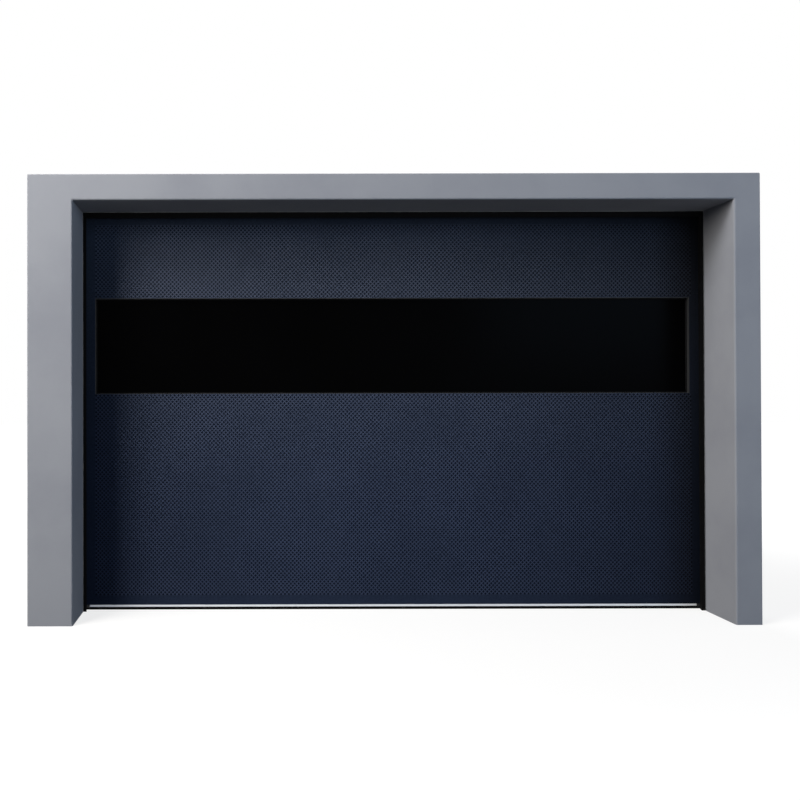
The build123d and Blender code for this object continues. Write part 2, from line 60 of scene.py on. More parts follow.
class Wire:                             # one socket, whose operators add Math nodes
    def __init__(self, tree, socket):
        self.tree = tree
        self.socket = socket

    def math(self, operation, first, second=None, clamp=False):
        settings = {"operation": operation, "use_clamp": clamp}
        made = addNode(self.tree, "ShaderNodeMath", settings, {0: first, 1: second})
        return Wire(self.tree, made.outputs[0])

    def __add__(self, other):
        return self.math("ADD", self, other)

    __radd__ = __add__

    def __sub__(self, other):
        return self.math("SUBTRACT", self, other)

    def __rsub__(self, other):
        return self.math("SUBTRACT", other, self)

    def __mul__(self, other):
        return self.math("MULTIPLY", self, other)

    __rmul__ = __mul__

    def __truediv__(self, other):
        return self.math("DIVIDE", self, other)

    def __rtruediv__(self, other):
        return self.math("DIVIDE", other, self)

    def power(self, other):
        return self.math("POWER", self, other)

    def absolute(self):
        return self.math("ABSOLUTE", self)

    def fraction(self):
        return self.math("FRACT", self)

    def most(self, other):
        return self.math("MAXIMUM", self, other)

    def clamped(self):
        return self.math("ADD", self, 0.0, clamp=True)

    def smooth(self, low, high):        # 0 below low, 1 above high, soft between
        sockets = {"Value": self, "From Min": low, "From Max": high}
        made = addNode(self.tree, "ShaderNodeMapRange", {"interpolation_type": "SMOOTHSTEP"}, sockets)
        return Wire(self.tree, made.outputs["Result"])


class Finish:                           # one material and the nodes that make it up
    def __init__(self, name):
        self.material = bpy.data.materials.new(name)
        self.material.use_nodes = True
        self.tree = self.material.node_tree
        self.tree.nodes.clear()

    def wire(self, kind, settings=None, sockets=None, output=0):
        return Wire(self.tree, addNode(self.tree, kind, settings, sockets).outputs[output])

    def place(self):                    # the point on the object, in metres
        return self.wire("ShaderNodeTexCoord", output="Object")

    def axes(self, vector):
        split = addNode(self.tree, "ShaderNodeSeparateXYZ", None, {"Vector": vector})
        return [Wire(self.tree, split.outputs[axis]) for axis in "XYZ"]

    def scaled(self, colour, amount):
        return self.wire("ShaderNodeVectorMath", {"operation": "SCALE"}, {0: colour, "Scale": amount})

    def times(self, first, second):     # one colour filtered through another
        return self.wire("ShaderNodeVectorMath", {"operation": "MULTIPLY"}, {0: first, 1: second})

    def noise(self, vector, scale, detail=3.0, roughness=0.55):
        sockets = {"Vector": vector, "Scale": scale, "Detail": detail, "Roughness": roughness}
        return self.wire("ShaderNodeTexNoise", None, sockets, "Fac")

    def mixed(self, first, second, amount):
        first, second = (
            colour if isinstance(colour, Wire) else (*colour, 1.0) for colour in (first, second)
        )
        return self.wire("ShaderNodeMix", {"data_type": "RGBA"}, {0: amount, 6: first, 7: second}, 2)

    def bump(self, height, distance, strength=1.0):
        sockets = {"Height": height, "Distance": distance, "Strength": strength}
        return self.wire("ShaderNodeBump", None, sockets, "Normal")

    def closed(self, shader):
        addNode(self.tree, "ShaderNodeOutputMaterial", None, {"Surface": shader})
        return self.material

    def surface(self, sockets):
        return self.closed(self.wire("ShaderNodeBsdfPrincipled", None, sockets))


def linear(red, green, blue):           # a colour picked on screen, 0 to 255
    return tuple(
        part / 255 / 12.92 if part / 255 <= 0.04045 else ((part / 255 + 0.055) / 1.055) ** 2.4
        for part in (red, green, blue)
    )


def dress(node, material):
    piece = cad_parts[node]
    piece.data.materials.clear()
    piece.data.materials.append(material)


def addPiece(name, mesh, material, smooth=False):
    mesh.normal_update()
    data = bpy.data.meshes.new(name)
    mesh.to_mesh(data)
    mesh.free()
    piece = bpy.data.objects.new(name, data)
    bpy.context.scene.collection.objects.link(piece)
    data.materials.append(material)
    if smooth:
        data.shade_smooth()
    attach(piece, "root")
    return piece


# Where things sit, read back from the solids
def middleOf(node, axis):
    low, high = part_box(node)
    return (low[axis] + high[axis]) / 2


capLow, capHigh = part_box("end_caps")
leafRight, flangeBack = capHigh[0], capHigh[1]
middleX = middleOf("end_caps", 0)
leafFront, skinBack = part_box("bottom_section")[0][1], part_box("bottom_section")[1][1]
joints = [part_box(node)[0][2] for node in ("lower_section", "window_bottom_rail", "top_section")]
sill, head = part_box("window_bottom_rail")[1][2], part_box("window_top_rail")[0][2]
footLow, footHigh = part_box("bottom_profile")
leafFoot, leafTop = footHigh[2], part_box("top_section")[1][2]
openLeft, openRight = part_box("left_pier")[1][0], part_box("right_pier")[0][0]
rollerLine = middleOf("right_vertical_track", 1)
trackLow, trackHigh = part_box("right_vertical_track")
runLevels = (middleOf("right_lower_track", 2), middleOf("right_upper_track", 2))
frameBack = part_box("right_upright")[1][1]
webThick = 0.002                        # the steel of frame and tracks, as in the source
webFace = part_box("right_upright")[1][0] - webThick
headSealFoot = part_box("head_seal")[0][2]


# Finishes
def renderFinish():                     # smooth pale grey coat on the piers and lintel
    look = {
        "colour": linear(156, 159, 167), "worn": linear(147, 150, 159),
        "cloud": 2.2, "grain": 900.0, "sag": 14.0, "relief": 0.0012, "rough": 0.8, "gloss": 0.12,
    }
    finish = Finish("surround render")
    spot = finish.place()
    cloud = finish.noise(spot, look["cloud"], 5.0).smooth(0.35, 0.75)
    grain = finish.noise(spot, look["grain"], 2.0)
    sag = finish.noise(spot, look["sag"], 2.0)
    return finish.surface({
        "Base Color": finish.mixed(look["colour"], look["worn"], cloud),
        "Roughness": look["rough"], "Specular IOR Level": look["gloss"],
        "Normal": finish.bump(grain * 0.35 + sag * 0.65, look["relief"], 0.35),
    })


leafLook = {
    # ridge and hollow are the lattice's painted highlight and painted shade; plain is the coat's own
    # colour
    "ridge": linear(76, 84, 104), "hollow": linear(15, 21, 33), "plain": linear(52, 60, 77),
    "cloud": linear(33, 41, 55), "cloudShare": 0.3, "cloudSize": 3.0,
    "grain": 1400.0, "relief": 0.0003, "rough": 0.6, "gloss": 0.05,
    # footTint and headTint are a painted tint of the light: bluer towards the foot, warmer towards the
    # head
    "footTint": (0.96, 1.06, 1.24), "headTint": (1.02, 0.98, 0.9), "tintLevels": (0.3, 2.1),
    "acrossPitch": 3.41 / 153, "upPitch": (joints[1] - joints[0]) / 25,
}
paintedShadeAndSpeck = {                           # painted shade: factors on the coat's brightness over the leaf, and a random speck
    "foot": 0.64, "climb": 0.155, "power": 2.2,                          # painted light: brighter with the height
    "brightest": -0.3, "fall": 0.12,                                     # painted shade: less to either side
    "leanLevels": (1.2, 2.1), "leanFrom": -0.5, "lean": 0.17,            # painted shade: high up, less to the right
    # painted shade over the last stretch to the right end
    "rightEnd": 0.5, "rightReach": 0.32,
    # painted shade right below the head seal
    "head": 0.75, "headReach": (0.02, 0.13),
    "speckSize": 190.0, "speckLow": 0.4, "speckSpread": 1.2,
}


def latticeHighlightAndShade(finish, across, up):        # painted highlight on the raised diagonal lines, painted shade in the hollows
    along = (across - middleX) / leafLook["acrossPitch"]
    above = (up - leafFoot) / leafLook["upPitch"]
    first = 1.0 - ((along + above).fraction() - 0.5).absolute() * 2.0
    second = 1.0 - ((along - above).fraction() - 0.5).absolute() * 2.0
    line = first.most(second).smooth(0.5, 0.8)
    return finish.mixed(leafLook["hollow"], leafLook["ridge"], line)


# the coat's painted shade over the leaf as one factor (depth), times a random speck
def leafPaintedShadeAndSpeck(finish, spot, across, up):
    shade = paintedShadeAndSpeck
    depth = shade["foot"] + up.most(0.0).power(shade["power"]) * shade["climb"]
    aside = across - shade["brightest"]
    depth = depth * (1.0 - aside * aside * shade["fall"])
    high = up.smooth(*shade["leanLevels"])
    depth = depth * (1.0 - high * (across - shade["leanFrom"]) * shade["lean"])
    clear = (openRight - across).smooth(0.0, shade["rightReach"])
    depth = depth * (shade["rightEnd"] + clear * (1.0 - shade["rightEnd"]))
    clear = (headSealFoot - up).smooth(*shade["headReach"])
    depth = depth * (shade["head"] + clear * (1.0 - shade["head"]))
    speck = finish.noise(spot, shade["speckSize"], 2.0, 0.7)
    return depth * (shade["speckLow"] + speck * shade["speckSpread"])


def leafPaint(name, embossed):          # dark blue-grey coat, with or without the painted lattice of highlight and shade, under painted shade and a painted tint of the light
    finish = Finish(name)
    spot = finish.place()
    across, _, up = finish.axes(spot)
    cloud = finish.noise(spot, leafLook["cloudSize"], 4.0).smooth(0.3, 0.8)
    grain = finish.noise(spot, leafLook["grain"], 2.0)
    colour = latticeHighlightAndShade(finish, across, up) if embossed else leafLook["plain"]
    colour = finish.mixed(colour, leafLook["cloud"], cloud * leafLook["cloudShare"])
    # painted tint of the light, changing with the height
    climb = up.smooth(*leafLook["tintLevels"])
    colour = finish.times(colour, finish.mixed(leafLook["footTint"], leafLook["headTint"], climb))
    return finish.surface({
        # the coat scaled by its painted shade and random speck
        "Base Color": finish.scaled(colour, leafPaintedShadeAndSpeck(finish, spot, across, up)),
        "Roughness": leafLook["rough"] + grain * 0.12, "Specular IOR Level": leafLook["gloss"],
        "Normal": finish.bump(grain, leafLook["relief"], 0.25),
    })


def insidePaint():                      # pale inner skin, stucco grain
    look = {
        "colour": linear(196, 198, 196), "cloud": linear(184, 187, 186), "cloudSize": 2.0,
        "stucco": 260.0, "drawn": (1.0, 1.0, 0.6), "relief": 0.0006, "rough": 0.55, "gloss": 0.3,
    }
    finish = Finish("inside skin paint")
    spot = finish.place()
    stucco = finish.noise(finish.times(spot, look["drawn"]), look["stucco"], 3.0)
    cloud = finish.noise(spot, look["cloudSize"], 3.0).smooth(0.3, 0.8)
    return finish.surface({
        "Base Color": finish.mixed(look["colour"], look["cloud"], cloud),
        "Roughness": look["rough"], "Specular IOR Level": look["gloss"],
        "Normal": finish.bump(stucco, look["relief"], 0.5),
    })


def zincFinish(name, tone, spangle=120.0):   # galvanised sheet with its flowers
    look = {"dark": 0.78, "cloud": 9.0, "metal": 0.9, "rough": 0.34, "uneven": 0.14}
    finish = Finish(name)
    spot = finish.place()
    sockets = {"Vector": spot, "Scale": spangle}
    flower = finish.axes(finish.wire("ShaderNodeTexVoronoi", {"feature": "F1"}, sockets, "Color"))[0]
    cloud = finish.noise(spot, look["cloud"], 3.0)
    dark = tuple(look["dark"] * part for part in tone)
    return finish.surface({
        "Base Color": finish.mixed(dark, tone, (flower * 0.6 + cloud * 0.4).clamped()),
        "Metallic": look["metal"], "Roughness": look["rough"] + flower * look["uneven"],
    })


def rubberFinish():
    look = {"clean": linear(5, 5, 6), "dusty": linear(15, 15, 17), "dust": 40.0, "grain": 700.0}
    finish = Finish("seal rubber")
    spot = finish.place()
    dust = finish.noise(spot, look["dust"], 4.0).smooth(0.45, 0.8)
    return finish.surface({
        "Base Color": finish.mixed(look["clean"], look["dusty"], dust),
        "Roughness": 0.75, "Specular IOR Level": 0.08,
        "Normal": finish.bump(finish.noise(spot, look["grain"], 2.0), 0.0003, 0.3),
    })


def glassFinish():                      # black tinted pane, seen from both sides
    finish = Finish("tinted pane")
    film = finish.noise(finish.place(), 2.0, 2.0)
    return finish.surface({
        "Base Color": finish.mixed(linear(1, 1, 1), linear(3, 3, 4), film),
        "Roughness": 0.2 + film * 0.06, "Specular IOR Level": 0.01,
    })


def aluminiumFinish():                  # drawn lines along the profile
    look = {
        "deep": linear(226, 229, 234), "bright": linear(243, 245, 250), "drawn": (0.6, 900.0, 900.0),
    }
    finish = Finish("foot profile aluminium")
    lines = finish.noise(finish.times(finish.place(), look["drawn"]), 1.0, 2.0)
    return finish.surface({
        "Base Color": finish.mixed(look["deep"], look["bright"], lines),
        "Metallic": 0.35, "Roughness": 0.36 + lines * 0.12,
    })


def plasticFinish(name, tone):
    look = {"grain": 900.0, "cloud": 30.0, "dark": 0.85, "rough": 0.5}
    finish = Finish(name)
    spot = finish.place()
    grain = finish.noise(spot, look["grain"], 2.0)
    cloud = finish.noise(spot, look["cloud"], 2.0)
    return finish.surface({
        "Base Color": finish.mixed(tone, tuple(look["dark"] * part for part in tone), cloud),
        "Roughness": look["rough"] + grain * 0.1, "Normal": finish.bump(grain, 0.0002, 0.3),
    })


def ropeFinish():                       # strands laid round the cable
    look = {
        "groove": linear(96, 98, 100), "strand": linear(176, 178, 180), "round": 700.0, "along": 260.0,
    }
    finish = Finish("wire rope")
    across, back, up = finish.axes(finish.place())
    lay = ((across + back) * look["round"] + up * look["along"]).fraction()
    strand = (lay - 0.5).absolute() * 2.0
    return finish.surface({
        "Base Color": finish.mixed(look["groove"], look["strand"], strand),
        "Metallic": 0.9, "Roughness": 0.42, "Normal": finish.bump(strand, 0.0006, 0.8),
    })


surroundCoat = renderFinish()
embossedPaint = leafPaint("embossed leaf paint", True)
plainPaint = leafPaint("smooth leaf paint", False)
innerPaint = insidePaint()
zinc = zincFinish("galvanised sheet", linear(178, 181, 184))
framePaint = zincFinish("galvanised frame", linear(186, 188, 190), 90.0)
rubber = rubberFinish()
nylon = plasticFinish("white nylon", linear(214, 213, 206))
blackPlastic = plasticFinish("black plastic", linear(26, 26, 28))
springSteel = zincFinish("spring steel", linear(84, 86, 89), 200.0)
boltZinc = zincFinish("bolt zinc", linear(196, 196, 192), 300.0)

for material, nodes in (
    (surroundCoat, "left_pier right_pier lintel"),
    (framePaint, "left_upright right_upright head_frame"),
    (plainPaint, "bottom_section lower_section top_section window_bottom_rail window_top_rail"),
    (plainPaint, "window_left_stile window_right_stile glazing_bead"),
    (glassFinish(), "window_pane"),
    (aluminiumFinish(), "bottom_profile"),
    (rubber, "side_seals head_seal bottom_seal"),
    (blackPlastic, "foot_end_blocks inside_handle"),
    (nylon, "rollers pulleys"),
    (springSteel, "springs"),
    (ropeFinish(), "cables"),
    (zinc, "end_caps section_hinges roller_carriers bottom_brackets top_arms track_brackets"),
    (zinc, "left_vertical_track left_track_bend left_lower_track left_upper_track"),
    (zinc, "right_vertical_track right_track_bend right_lower_track right_upper_track"),
    (zinc, "corner_plates ceiling_hangers rear_bar anchor_plates pulley_yokes pulley_brackets"),
):
    for node in nodes.split():
        dress(node, material)
print("finishes on the frame's nodes")


# Mesh helpers
def evenNormals(mesh):
    bmesh.ops.recalc_face_normals(mesh, faces=mesh.faces)


def trim(mesh, cuts):                   # keeps what lies behind each plane
    for point, normal in cuts:
        everything = mesh.verts[:] + mesh.edges[:] + mesh.faces[:]
        bmesh.ops.bisect_plane(
            mesh, geom=everything, dist=1e-6, plane_co=point, plane_no=normal, clear_outer=True)


def hem(mesh, depth):                   # turns a sheet's border back to the given depth
    border = [edge for edge in mesh.edges if edge.is_boundary]
    made = bmesh.ops.extrude_edge_only(mesh, edges=border)["geom"]
    for vert in (item for item in made if isinstance(item, bmesh.types.BMVert)):
        vert.co.y = depth


def skinLoops(mesh, loops):             # faces between rings of as many points each
    for lower, upper in loops:
        for side in range(len(lower)):
            after = (side + 1) % len(lower)
            mesh.faces.new((lower[side], lower[after], upper[after], upper[side]))


# Embossed outer skins
skin = {
    "left": openLeft + 0.062, "right": openRight - 0.052,
    "foot": leafFoot + 0.054, "head": headSealFoot - 0.034,
    "seam": 0.0004, "sash": 0.0015, "hem": 0.0002,
    "rise": 0.0012, "depth": 0.0010, "ridge": 0.22, "floor": 0.62,
}
skinBands = {
    "bottom_section": (skin["foot"], joints[0] - skin["seam"]),
    "lower_section": (joints[0] + skin["seam"], joints[1] - skin["seam"]),
    "window_bottom_rail": (joints[1] + skin["seam"], sill - skin["sash"]),
    "window_top_rail": (head + skin["sash"], joints[2] - skin["seam"]),
    "top_section": (joints[2] + skin["seam"], skin["head"]),
}


def embossedSkin(name, low, high):      # a lattice of flat-bottomed diamonds between raised lines
    mesh = bmesh.new()
    stepX, stepZ = leafLook["acrossPitch"], leafLook["upPitch"]
    face = leafFront - skin["rise"]
    inner = 1 - skin["ridge"]
    corners = {}

    def level(row):
        return leafFoot + row * stepZ / 2

    def corner(column, row):
        if (column, row) not in corners:
            spot = (middleX + column * stepX / 2, face, level(row))
            corners[column, row] = mesh.verts.new(spot)
        return corners[column, row]

    reach = math.ceil((skin["right"] - middleX) / stepX * 2) + 2
    lowest = math.floor((low - leafFoot) / stepZ * 2) - 2
    highest = math.ceil((high - leafFoot) / stepZ * 2) + 2
    for row in range(lowest, highest + 1):
        for column in range(-reach, reach + 1):
            if (row + column) % 2:
                continue
            centre = Vector((middleX + column * stepX / 2, face + skin["depth"], level(row)))
            outer = [corner(column + aside, row + above)
                     for aside, above in ((-1, 0), (0, -1), (1, 0), (0, 1))]
            rim, bed = [], []
            for vert in outer:
                lean = (vert.co - centre) * inner
                rim.append(mesh.verts.new((centre.x + lean.x, face, centre.z + lean.z)))
                lean = (lean.x * skin["floor"], lean.z * skin["floor"])
                bed.append(mesh.verts.new((centre.x + lean[0], centre.y, centre.z + lean[1])))
            for place in range(4):
                after = (place + 1) % 4
                mesh.faces.new((outer[place], outer[after], rim[after], rim[place]))
                mesh.faces.new((rim[place], rim[after], bed[after], bed[place]))
            mesh.faces.new(bed)
    trim(mesh, (
        ((skin["left"], 0, 0), (-1, 0, 0)), ((skin["right"], 0, 0), (1, 0, 0)),
        ((0, 0, low), (0, 0, -1)), ((0, 0, high), (0, 0, 1)),
    ))
    hem(mesh, leafFront + skin["hem"])
    evenNormals(mesh)
    return addPiece(name, mesh, embossedPaint)


for node, (low, high) in skinBands.items():
    made = embossedSkin(node + "_embossing", low, high)
    print(made.name, len(made.data.polygons), "faces")


# Surround with rounded arrises, made whole and cut into the three pieces
surround = {"outerRound": 0.006, "innerRound": 0.009, "steps": 4, "seam": 0.00002, "near": 0.001}


def surroundCoats():
    low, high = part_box("left_pier")
    inLeft, springing = high[0], high[2]
    left, front, back = low[0], low[1], high[1]
    inRight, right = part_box("right_pier")[0][0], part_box("right_pier")[1][0]
    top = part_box("lintel")[1][2]
    near = surround["near"]
    outline = [
        (left, 0), (left, top), (right, top), (right, 0),
        (inRight, 0), (inRight, springing), (inLeft, springing), (inLeft, 0),
    ]
    seam = (0, 0, springing - surround["seam"])
    belowSeam, aboveSeam = (seam, (0, 0, 1)), (seam, (0, 0, -1))
    leftHalf, rightHalf = ((0, 0, 0), (1, 0, 0)), ((0, 0, 0), (-1, 0, 0))

    def softened(edge, inner):          # an arris of the opening, or of the outside
        first, second = (vert.co for vert in edge.verts)
        if first.z < near and second.z < near:
            return False
        along = (second - first).normalized()
        middle = (first + second) / 2
        inside = inLeft - near < middle.x < inRight + near and middle.z < springing + near
        return inside == inner and (abs(along.y) < 0.5 or not inside)

    for node, cuts in (
        ("left_pier", (belowSeam, leftHalf)), ("right_pier", (belowSeam, rightHalf)),
        ("lintel", (aboveSeam,)),
    ):
        mesh = bmesh.new()
        face = [mesh.verts.new((x, front, z)) for x, z in outline]
        rear = [mesh.verts.new((x, back, z)) for x, z in outline]
        mesh.faces.new(face)
        mesh.faces.new(rear[::-1])
        skinLoops(mesh, ((face, rear),))
        evenNormals(mesh)
        for inner, size in ((True, surround["innerRound"]), (False, surround["outerRound"])):
            edges = [
                edge for edge in mesh.edges
                if softened(edge, inner) and edge.calc_face_angle(0) > 1.2
            ]
            steps = surround["steps"]
            bmesh.ops.bevel(
                mesh, geom=edges, offset=size, segments=steps, profile=0.5, affect="EDGES")
        trim(mesh, cuts)
        coat = addPiece(node + "_coat", mesh, surroundCoat)
        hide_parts(node)


surroundCoats()
print("surround coats")


# Window: liner in the recess and the pane's gasket
windowTrim = {
    "liner": 0.0015, "setBack": 0.0006, "clear": 0.0001,
    "gasket": 0.007, "gasketDepth": 0.005, "gasketCut": 0.003,
}
linerGrey = plasticFinish("window liner", linear(44, 45, 47))
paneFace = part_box("window_pane")[0][1]
openLow = (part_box("window_left_stile")[1][0], sill)
openHigh = (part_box("window_right_stile")[0][0], head)


def ring(name, inset, width, near, far, cut, material):    # a mitred frame in the window
    mesh = bmesh.new()
    low = [value + inset for value in openLow]
    high = [value - inset for value in openHigh]
    loops = []
    for step, y in ((0.0, near), (width - cut, near), (width, near + cut), (width, far), (0.0, far)):
        loops.append([mesh.verts.new((x, y, z)) for x, z in (
            (low[0] + step, low[1] + step), (high[0] - step, low[1] + step),
            (high[0] - step, high[1] - step), (low[0] + step, high[1] - step))])
    skinLoops(mesh, zip(loops, loops[1:] + loops[:1]))
    evenNormals(mesh)
    addPiece(name, mesh, material)


ring("window_liner", 0.0, windowTrim["liner"], leafFront + windowTrim["setBack"],
     paneFace - windowTrim["clear"], 0.0, linerGrey)
ring("window_gasket", windowTrim["liner"], windowTrim["gasket"], paneFace - windowTrim["gasketDepth"],
     paneFace, windowTrim["gasketCut"], rubber)


# The foot seal's lip, turned up over the profile's lower edge
sealLip = {"height": 0.0048, "below": 0.001, "proud": 0.0008, "seat": 0.0002}


def footSealLip():
    mesh = bmesh.new()
    seat, front = footLow[1] + sealLip["seat"], footLow[1] - sealLip["proud"]
    foot, edge = footLow[2] - sealLip["below"], footLow[2] + sealLip["height"]
    section = [
        (seat, foot), (front, foot), (front, footLow[2] + sealLip["height"] * 0.7),
        (footLow[1] - sealLip["proud"] * 0.5, edge), (seat, edge),
    ]
    left, right = (
        [mesh.verts.new((x, y, z)) for y, z in section]
        for x in (footLow[0] + sealLip["seat"], footHigh[0] - sealLip["seat"])
    )
    skinLoops(mesh, ((left, right),))
    mesh.faces.new(left[::-1])
    mesh.faces.new(right)
    evenNormals(mesh)
    addPiece("foot_seal_lip", mesh, rubber)


footSealLip()


# Pale ribbed inner skins
innerSkin = {
    "inset": 0.061, "proud": 0.0006, "hem": 0.0002, "margin": 0.002, "tongue": 0.0088,
    "ribPitch": 0.049, "ribWidth": 0.012, "ribDepth": 0.0005, "afterRib": 0.01,
}


def ribbedSkin(name, low, high):
    mesh = bmesh.new()
    left, right = capLow[0] + innerSkin["inset"], capHigh[0] - innerSkin["inset"]
    face = skinBack + innerSkin["proud"]
    groove = face - innerSkin["ribDepth"]
    half = innerSkin["ribWidth"] / 2
    levels = [(low, face)]
    level = low + innerSkin["ribPitch"]
    while level + innerSkin["ribWidth"] < high - innerSkin["afterRib"]:
        levels += [
            (level - half, face), (level - half / 3, groove),
            (level + half / 3, groove), (level + half, face),
        ]
        level += innerSkin["ribPitch"]
    levels.append((high, face))
    rows = [[mesh.verts.new((x, y, z)) for x in (left, right)] for z, y in levels]
    for lower, upper in zip(rows, rows[1:]):
        mesh.faces.new((lower[0], lower[1], upper[1], upper[0]))
    hem(mesh, skinBack - innerSkin["hem"])
    evenNormals(mesh)
    addPiece(name, mesh, innerPaint)


for node in ("bottom_section", "lower_section", "top_section"):
    low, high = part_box(node)
    top = high[2] - (innerSkin["tongue"] if node != "top_section" else 0.0)
    ribbedSkin(node + "_inner_skin", low[2] + innerSkin["margin"], top - innerSkin["margin"])
print("leaf and window trim")


# Small fixings: hexagon bolts, button rivets and washers
fixings = {
    "bolt": 0.0065, "head": 0.005, "washer": 0.009, "washerSheet": 0.0014, "rivet": 0.0035,
    "plate": 0.003, "footPlate": 0.005, "plateIn": 0.016, "plateBack": 0.05, "bracketBack": 0.004,
    "brackets": (0.33, 1.03, 1.73), "plateInTrack": (2.0, 2.15), "plateOnFrame": (1.98, 2.1, 2.3),
    "footRoller": 0.12, "headRoller": leafTop + 0.0348,
    "capRows": (0.08, 0.3, 0.7, 0.92), "capInset": 0.052,
    "hangers": 1.2, "hangerIn": 0.02, "barIn": 0.02, "barEnd": 0.012, "barSpan": 0.6,
}
boltSizes = {
    "hinge": 0.85, "carrier": 0.75, "track": 0.8, "frame": 0.8, "foot": 1.35,
    "hanger": 0.9, "bar": 0.8,
}


def turned(axis):                       # a frame whose Z runs along the given axis
    return Vector(axis).to_track_quat("Z", "Y").to_matrix().to_4x4()


def lathe(mesh, profile, spot, axis, sides=20, cap=True):    # rings of (radius, height) about an axis
    place = Matrix.Translation(spot) @ turned(axis)
    rings = []
    for radius, height in profile:
        if radius == 0:
            rings.append([mesh.verts.new(place @ Vector((0, 0, height)))] * sides)
            continue
        turns = [2 * math.pi * side / sides for side in range(sides)]
        rings.append([
            mesh.verts.new(place @ Vector((radius * math.cos(turn), radius * math.sin(turn), height)))
            for turn in turns
        ])
    for lower, upper in zip(rings, rings[1:]):
        for side in range(sides):
            after = (side + 1) % sides
            corners = [lower[side], lower[after], upper[after], upper[side]]
            mesh.faces.new(list(dict.fromkeys(corners)))
    if cap:
        for loop in (rings[0][::-1], rings[-1]):
            if loop[0] is not loop[1]:
                mesh.faces.new(loop)


def boltHead(mesh, spot, axis, size=1.0):
    washer, sheet = fixings["washer"] * size, fixings["washerSheet"] * size
    lathe(mesh, ((washer, 0), (washer, sheet * 0.7), (washer * 0.95, sheet)), spot, axis, 18)
    bolt, head = fixings["bolt"] * size, fixings["head"] * size
    raised = Vector(spot) + Vector(axis).normalized() * sheet
    lathe(mesh, ((bolt, 0), (bolt, head * 0.85), (bolt * 0.84, head)), raised, axis, 6)


def rivetHead(mesh, spot, axis, size=1.0):
    radius = fixings["rivet"] * size
    dome = radius * 0.7
    steps = [(radius * math.cos(lean), dome * math.sin(lean)) for lean in (0, 0.35, 0.75, 1.15)]
    lathe(mesh, steps + [(0, dome)], spot, axis, 14)


def bothSides(place):                   # a point and its mirror image about the leaf's middle
    return Vector(place), Vector((2 * middleX - place[0], place[1], place[2]))


def pairAlong(place, axis):
    return [(spot, axis) for spot in bothSides(place)]


def pairOutward(place, way=1):          # both facing away from the leaf's middle, or to it with -1
    return [(spot, (side * way, 0, 0)) for side, spot in zip((1, -1), bothSides(place))]


def fixedOn(name, spots, maker, size=1.0):
    mesh = bmesh.new()
    for spot, axis in spots:
        maker(mesh, spot, axis, size)
    evenNormals(mesh)
    addPiece(name, mesh, boltZinc)


inward, upward = (0, 1, 0), (0, 0, 1)

# Hinges: bolts where the plate is wide enough, rivets on the narrow strips beside the pane
hinge = {
    "plate": 0.045, "narrow": 0.03, "pair": 0.018, "edge": 0.012,
    "rivetBelow": 0.0145, "rivetAbove": 0.0125,
}
hingeXs = [middleX + (place - 1.5) * (openRight - openLeft) / 5 for place in range(4)]
bolts, rivets = [], []
for joint in joints:
    above = sill - joint if joint == joints[1] else hinge["plate"]
    below = joint - head if joint == joints[2] else hinge["plate"]
    rows = (
        (below, joint - below + hinge["edge"], joint - hinge["rivetBelow"]),
        (above, joint + above - hinge["edge"], joint + hinge["rivetAbove"]),
    )
    for x in hingeXs:
        for side in (-hinge["pair"], hinge["pair"]):
            for width, boltLevel, rivetLevel in rows:
                wide = width > hinge["narrow"]
                level = boltLevel if wide else rivetLevel
                spot = (x + side, skinBack + fixings["plate"], level)
                (bolts if wide else rivets).append((spot, inward))
fixedOn("hinge_bolts", bolts, boltHead, boltSizes["hinge"])
fixedOn("hinge_rivets", rivets, rivetHead)

# Roller carriers and end caps
carrier = {"inset": 0.025, "halfWidth": 0.015, "halfHeight": 0.034}
spots = []
for level in joints + [fixings["footRoller"]]:
    for lift in (-carrier["halfHeight"], carrier["halfHeight"]):
        for side in (-carrier["halfWidth"], carrier["halfWidth"]):
            x = openRight - carrier["inset"] + side
            spots += pairAlong((x, flangeBack + fixings["plate"], level + lift), inward)
fixedOn("carrier_bolts", spots, boltHead, boltSizes["carrier"])

spots = []
for low, high in zip([leafFoot] + joints, joints + [leafTop]):
    for part in fixings["capRows"]:
        level = low + (high - low) * part
        spots += pairAlong((leafRight - fixings["capInset"], flangeBack, level), inward)
fixedOn("cap_rivets", spots, rivetHead)

# Tracks, brackets, corner plates and feet
spots = []
for level in fixings["brackets"]:
    spots += pairOutward((trackHigh[0] - webThick, rollerLine, level), -1)
for level in fixings["plateInTrack"] + runLevels:
    spots += pairOutward((trackHigh[0] + fixings["plate"], frameBack + fixings["plateBack"], level))
fixedOn("track_bolts", spots, boltHead, boltSizes["track"])

spots = []
for level in fixings["plateOnFrame"]:
    x = webFace - fixings["plateIn"]
    spots += pairAlong((x, frameBack + fixings["plate"], level), inward)
for level in fixings["brackets"]:
    spots += pairOutward((webFace + webThick, rollerLine + fixings["bracketBack"], level))
fixedOn("frame_bolts", spots, boltHead, boltSizes["frame"])

footSpot = ((trackHigh[0] + webFace) / 2, rollerLine, fixings["footPlate"])
fixedOn("foot_anchors", pairAlong(footSpot, upward), boltHead, boltSizes["foot"])

# Hangers and rear bar
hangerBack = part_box("ceiling_hangers")[1][1]
spots = []
for rear in (hangerBack, hangerBack - fixings["hangers"]):
    for level in runLevels:
        y = rear - fixings["hangerIn"]
        spots += pairOutward((trackHigh[0] + fixings["plate"], y, level))
fixedOn("hanger_bolts", spots, boltHead, boltSizes["hanger"])

barBack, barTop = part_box("rear_bar")[1][1:]
spots = []
for x in (trackLow[0] + fixings["barEnd"], middleX + fixings["barSpan"], middleX):
    spots += pairAlong((x, barBack - fixings["barIn"], barTop), upward)
fixedOn("bar_bolts", spots, boltHead, boltSizes["bar"])
print("fixings")


